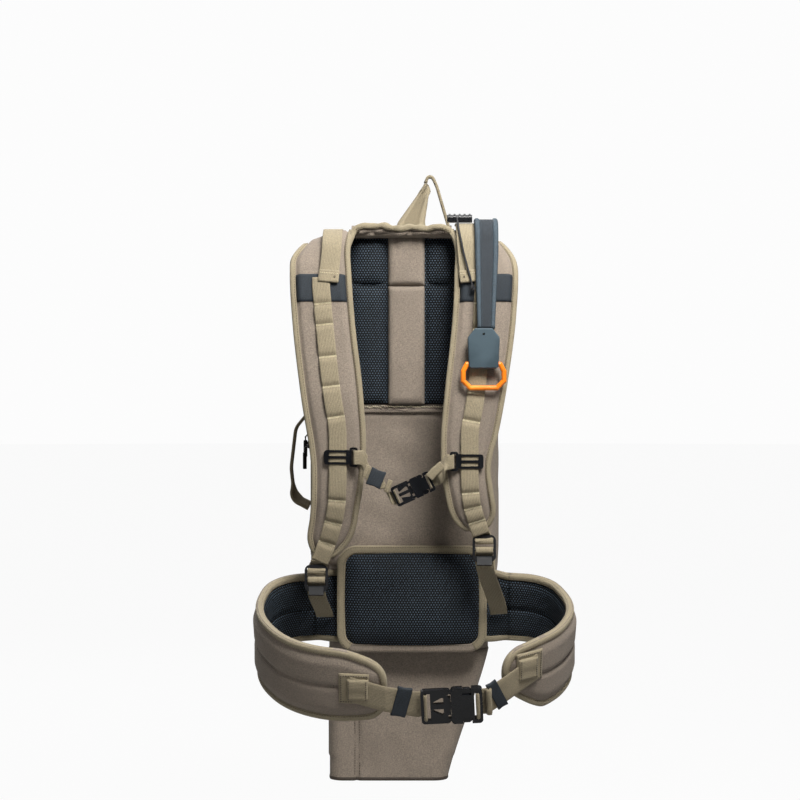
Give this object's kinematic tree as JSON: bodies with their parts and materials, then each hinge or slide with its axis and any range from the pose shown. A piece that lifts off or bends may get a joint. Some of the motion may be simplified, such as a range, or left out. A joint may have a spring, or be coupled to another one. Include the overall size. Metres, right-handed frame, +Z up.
{
  "type": "hunting backpack",
  "caption": "Hunting backpack with a drop-down rifle boot, padded harness, sternum strap, tilting hip belt with a squeeze buckle, and a quick-pull rifle retainer.",
  "frame": {"origin": "inside the top of the haul loop, where a hook carries the pack", "axes": "+Z up, -Y out of the padded side that faces the wearer's back, +X to the right as one faces that side"},
  "size_m": [0.451, 0.5115, 0.885],
  "materials": {
    "fabric": "brushed woven cloth",
    "mesh": "knitted spacer mesh",
    "binding": "folded tape",
    "webbing": "woven webbing",
    "elastic": "knitted elastic",
    "cord": "braided cord",
    "plastic": "glossy moulding",
    "moulded": "matt moulding",
    "ring": "bright moulding",
    "zip": "coil zip",
    "slider": "painted die casting",
    "sheet": "plain sheet",
    "stays": "mill finish",
    "magnet": "plated"
  },
  "bodies": {
    "pack": {"main_bag": "fabric", "front_pocket": "fabric", "rifle_sleeve": "fabric", "back_panel": "fabric", "frame_sheet": "sheet", "frame_stays": "stays", "mesh_pads_upper": "mesh", "mesh_pads_lower": "mesh", "spine_strips": "fabric", "panel_hem": "binding", "lumbar_pad": "mesh", "lumbar_binding": "binding", "belt_core": "fabric", "yoke": "binding", "haul_loop": "webbing", "side_zips": "zip", "side_handle": "binding"},
    "harness": {"shoulder_strap_left": "fabric", "shoulder_strap_right": "fabric", "shoulder_webbing_left": "webbing", "shoulder_webbing_right": "webbing", "strap_band_left": "elastic", "strap_band_right": "elastic", "ladder_webbing_left": "webbing", "ladder_webbing_right": "webbing", "adjuster_left": "plastic", "adjuster_right": "plastic", "adjuster_webbing_left": "webbing", "adjuster_webbing_right": "webbing", "cord_guide": "plastic", "retention_cord": "cord"},
    "sternum_strap": {"sternum_slider_left": "plastic", "sternum_slider_right": "plastic", "sternum_webbing_left": "webbing", "sternum_webbing_right": "webbing", "sternum_keeper": "elastic", "sternum_buckle_male": "plastic", "sternum_buckle_female": "plastic"},
    "sternum_arm_upper": {"sternum_buckle_arm_upper": "plastic"},
    "sternum_arm_lower": {"sternum_buckle_arm_lower": "plastic"},
    "hip_belt": {"hip_wing_left": "fabric", "hip_wing_right": "fabric", "hip_patches": "webbing", "hip_webbing_left": "webbing", "hip_webbing_right": "webbing", "hip_keepers": "elastic", "hip_buckle_male": "plastic", "hip_buckle_female": "plastic"},
    "hip_arm_upper": {"hip_buckle_arm_upper": "plastic"},
    "hip_arm_lower": {"hip_buckle_arm_lower": "plastic"},
    "retainer": {"hook_sleeve": "elastic", "hook_housing": "moulded", "hook_magnet": "magnet"},
    "ring": {"pull_ring": "ring"},
    "zip_slider_front": {"zip_slider_front": "slider"},
    "zip_slider_rear": {"zip_slider_rear": "slider"},
    "zip_pull_front": {"zip_pull_front": "plastic"},
    "zip_pull_rear": {"zip_pull_rear": "plastic"},
    "boot": {"rifle_boot": "fabric"}
  },
  "joints": [
    {"name": "harness_swing", "type": "hinge", "parent": "pack", "child": "harness", "pos_m": [-0.034, -0.0038, -0.084], "axis": [-1, 0, 0], "range_deg": [0, 18]},
    {"name": "sternum_height", "type": "slide", "parent": "harness", "child": "sternum_strap", "axis": [0, 0, 1], "range_m": [-0.012, 0.012]},
    {"name": "sternum_press_upper", "type": "hinge", "parent": "sternum_strap", "child": "sternum_arm_upper", "pos_m": [-0.03286, -0.1276, -0.44176], "axis": [0, 1, 0], "range_deg": [0, 8], "stiffness_Nm_per_rad": 0.08},
    {"name": "sternum_press_lower", "type": "hinge", "parent": "sternum_strap", "child": "sternum_arm_lower", "pos_m": [-0.02357, -0.1276, -0.4617], "axis": [0, -1, 0], "range_deg": [0, 8], "stiffness_Nm_per_rad": 0.08},
    {"name": "hip_belt_tilt", "type": "hinge", "parent": "pack", "child": "hip_belt", "pos_m": [-0.034, -0.0118, -0.625], "axis": [-1, 0, 0], "range_deg": [-8, 20]},
    {"name": "hip_press_upper", "type": "hinge", "parent": "hip_belt", "child": "hip_arm_upper", "pos_m": [0.02015, -0.26517, -0.71233], "axis": [0, 0.9455, 0.3256], "range_deg": [0, 8], "stiffness_Nm_per_rad": 0.08},
    {"name": "hip_press_lower", "type": "hinge", "parent": "hip_belt", "child": "hip_arm_lower", "pos_m": [0.02226, -0.25204, -0.75047], "axis": [0, -0.9455, -0.3256], "range_deg": [0, 8], "stiffness_Nm_per_rad": 0.08},
    {"name": "retainer_lift", "type": "hinge", "parent": "harness", "child": "retainer", "pos_m": [-0.034, -0.0458, -0.0658], "axis": [-1, 0, 0], "range_deg": [0, 35]},
    {"name": "ring_swing", "type": "hinge", "parent": "retainer", "child": "ring", "pos_m": [0.074, -0.1258, -0.2761], "axis": [-1, 0, 0], "range_deg": [0, 110]},
    {"name": "zip_front_travel", "type": "slide", "parent": "pack", "child": "zip_slider_front", "axis": [0, 0, 1], "range_m": [-0.155, 0.195]},
    {"name": "zip_rear_travel", "type": "slide", "parent": "pack", "child": "zip_slider_rear", "axis": [0, 0, 1], "range_m": [-0.175, 0.178]},
    {"name": "pull_front_swing", "type": "hinge", "parent": "zip_slider_front", "child": "zip_pull_front", "pos_m": [-0.1817, 0.1202, -0.394], "axis": [0, 1, 0], "range_deg": [0, 120]},
    {"name": "pull_rear_swing", "type": "hinge", "parent": "zip_slider_rear", "child": "zip_pull_rear", "pos_m": [-0.1817, 0.1402, -0.376], "axis": [0, 1, 0], "range_deg": [0, 120]},
    {"name": "boot_fold", "type": "hinge", "parent": "pack", "child": "boot", "pos_m": [-0.034, 0.0565, -0.69015], "axis": [1, 0, 0], "range_deg": [0, 90]}
  ],
  "couplings": [
    {"joint": "sternum_press_lower", "follows": "sternum_press_upper", "ratio": 1},
    {"joint": "hip_press_lower", "follows": "hip_press_upper", "ratio": 1}
  ]
}
